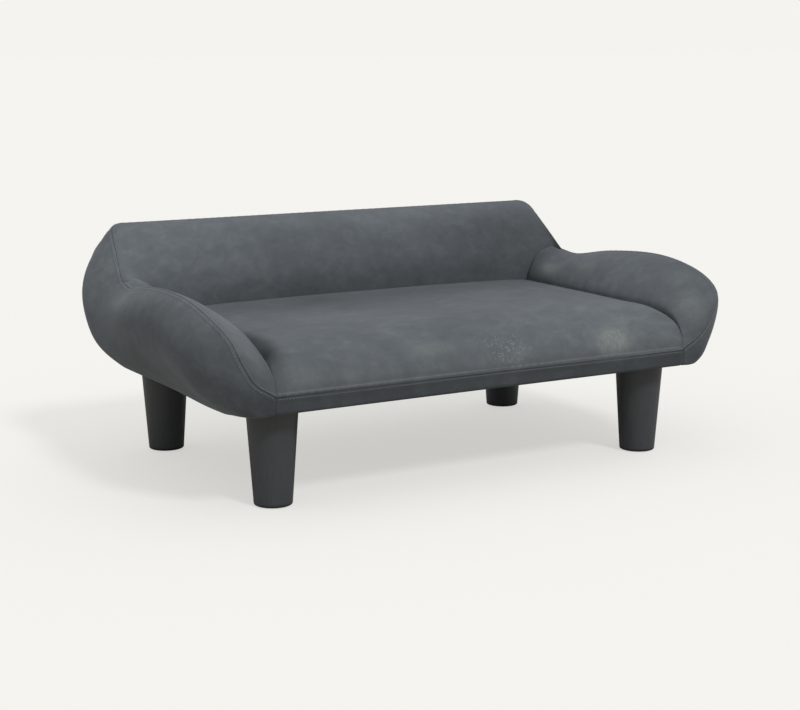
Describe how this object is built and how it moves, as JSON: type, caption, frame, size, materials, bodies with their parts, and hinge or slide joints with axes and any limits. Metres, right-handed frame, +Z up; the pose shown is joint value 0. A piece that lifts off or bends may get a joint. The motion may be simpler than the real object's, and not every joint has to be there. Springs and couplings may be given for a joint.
{
  "type": "dog sofa bed",
  "caption": "Raised dog sofa bed with a rolled back, two low rolled arms and a padded seat in suede-like fabric, on screw-in tapered legs.",
  "frame": {"origin": "on the floor under the middle of the body", "axes": "+X along the sofa towards its right arm as seen from the front, +Y to the back rest, +Z up; the open side of the seat faces -Y"},
  "size_m": [0.985, 0.5782, 0.3826],
  "materials": {
    "suede": "slate grey brushed microfibre suede with a soft, blotchy nap",
    "foam": "open-cell polyurethane foam",
    "timber": "planed pine",
    "plywood": "sanded poplar plywood",
    "steel": "zinc-plated steel",
    "dust_cloth": "black spun-bonded polypropylene cloth",
    "leg_paint": "beech with satin charcoal paint",
    "nylon": "black nylon"
  },
  "bodies": {
    "root": {"front_rail": "timber", "rear_rail": "timber", "left_rail": "timber", "right_rail": "timber", "cross_rails": "timber", "corner_blocks": "timber", "dowels": "timber", "deck_panel": "plywood", "left_arm_panel": "plywood", "right_arm_panel": "plywood", "back_panel": "plywood", "outer_cover": "suede", "front_band": "suede", "left_arm_cover": "suede", "right_arm_cover": "suede", "back_cover": "suede", "seat_cover": "suede", "seat_foam": "foam", "left_arm_foam": "foam", "right_arm_foam": "foam", "back_foam": "foam", "dust_cover": "dust_cloth", "rail_screws": "steel", "tee_nuts": "steel", "deck_screws": "steel", "arm_panel_screws": "steel", "back_brackets": "steel", "bracket_screws": "steel", "staples": "steel"},
    "front_left_washer": {"front_left_washer": "nylon"},
    "front_left_leg": {"front_left_leg": "leg_paint", "front_left_bolt": "steel", "front_left_glide": "nylon"},
    "front_right_washer": {"front_right_washer": "nylon"},
    "front_right_leg": {"front_right_leg": "leg_paint", "front_right_bolt": "steel", "front_right_glide": "nylon"},
    "back_left_washer": {"back_left_washer": "nylon"},
    "back_left_leg": {"back_left_leg": "leg_paint", "back_left_bolt": "steel", "back_left_glide": "nylon"},
    "back_right_washer": {"back_right_washer": "nylon"},
    "back_right_leg": {"back_right_leg": "leg_paint", "back_right_bolt": "steel", "back_right_glide": "nylon"}
  },
  "joints": [
    {"name": "front_left_leg_drop", "type": "slide", "parent": "root", "child": "front_left_washer", "axis": [0, 0, -1], "range_m": [0, 0.00875]},
    {"name": "front_left_leg_turn", "type": "hinge", "parent": "front_left_washer", "child": "front_left_leg", "pos_m": [-0.343, -0.205, 0.155], "axis": [0, 0, -1], "range_deg": [0, 2520]},
    {"name": "front_right_leg_drop", "type": "slide", "parent": "root", "child": "front_right_washer", "axis": [0, 0, -1], "range_m": [0, 0.00875]},
    {"name": "front_right_leg_turn", "type": "hinge", "parent": "front_right_washer", "child": "front_right_leg", "pos_m": [0.343, -0.205, 0.155], "axis": [0, 0, -1], "range_deg": [0, 2520]},
    {"name": "back_left_leg_drop", "type": "slide", "parent": "root", "child": "back_left_washer", "axis": [0, 0, -1], "range_m": [0, 0.00875]},
    {"name": "back_left_leg_turn", "type": "hinge", "parent": "back_left_washer", "child": "back_left_leg", "pos_m": [-0.343, 0.205, 0.155], "axis": [0, 0, -1], "range_deg": [0, 2520]},
    {"name": "back_right_leg_drop", "type": "slide", "parent": "root", "child": "back_right_washer", "axis": [0, 0, -1], "range_m": [0, 0.00875]},
    {"name": "back_right_leg_turn", "type": "hinge", "parent": "back_right_washer", "child": "back_right_leg", "pos_m": [0.343, 0.205, 0.155], "axis": [0, 0, -1], "range_deg": [0, 2520]}
  ],
  "couplings": [
    {"joint": "front_left_leg_drop", "follows": "front_left_leg_turn", "m_per_rad": 0.00019894},
    {"joint": "front_right_leg_drop", "follows": "front_right_leg_turn", "m_per_rad": 0.00019894},
    {"joint": "back_left_leg_drop", "follows": "back_left_leg_turn", "m_per_rad": 0.00019894},
    {"joint": "back_right_leg_drop", "follows": "back_right_leg_turn", "m_per_rad": 0.00019894}
  ]
}
